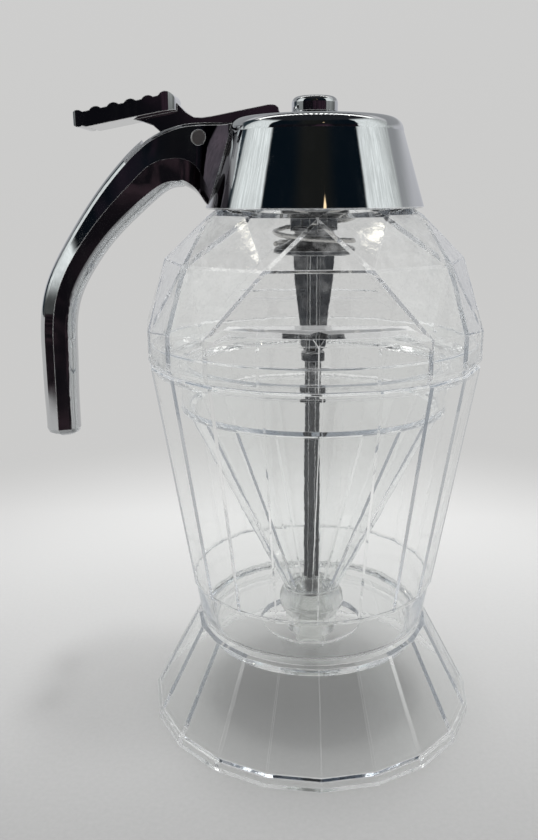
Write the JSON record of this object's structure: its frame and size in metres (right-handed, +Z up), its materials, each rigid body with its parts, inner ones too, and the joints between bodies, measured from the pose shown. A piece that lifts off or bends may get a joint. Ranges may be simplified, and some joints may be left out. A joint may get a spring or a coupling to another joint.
{
  "type": "honey dispenser",
  "caption": "Clear faceted honey jar with an inner funnel and drip nozzle, a chromed lid with side handle and thumb trigger that lifts a sprung stopper, on a clear faceted stand.",
  "frame": {"origin": "centre of the stand's foot, on the surface it stands on", "axes": "+Z up along the jar's axis, the handle and trigger lie in the plane Y = 0 towards -X, -Y is the side seen from the front"},
  "size_m": [0.1044, 0.0798, 0.146],
  "materials": {
    "clear": "clear moulded acrylic, polished",
    "chrome": "chromed plastic, mirror bright",
    "silicone": "milky translucent silicone",
    "steel": "drawn spring wire"
  },
  "bodies": {
    "root": {"stand": "clear", "lower_shell": "clear", "dome": "clear", "funnel": "clear", "nozzle": "silicone", "lid": "chrome", "pin": "steel", "spring": "steel"},
    "trigger": {"trigger": "chrome"},
    "plunger": {"plunger": "chrome", "stopper": "silicone"}
  },
  "joints": [
    {"name": "trigger_pivot", "type": "hinge", "parent": "root", "child": "trigger", "pos_m": [-0.02505, 0, 0.13666], "axis": [0, -1, 0], "range_deg": [0, 10], "stiffness_Nm_per_rad": 0.2, "springref_deg": -10.89},
    {"name": "plunger_slide", "type": "slide", "parent": "root", "child": "plunger", "axis": [0, 0, 1], "range_m": [0, 0.0048], "deforming": ["spring"]}
  ],
  "couplings": [
    {"joint": "plunger_slide", "follows": "trigger_pivot", "m_per_rad": 0.0265}
  ]
}
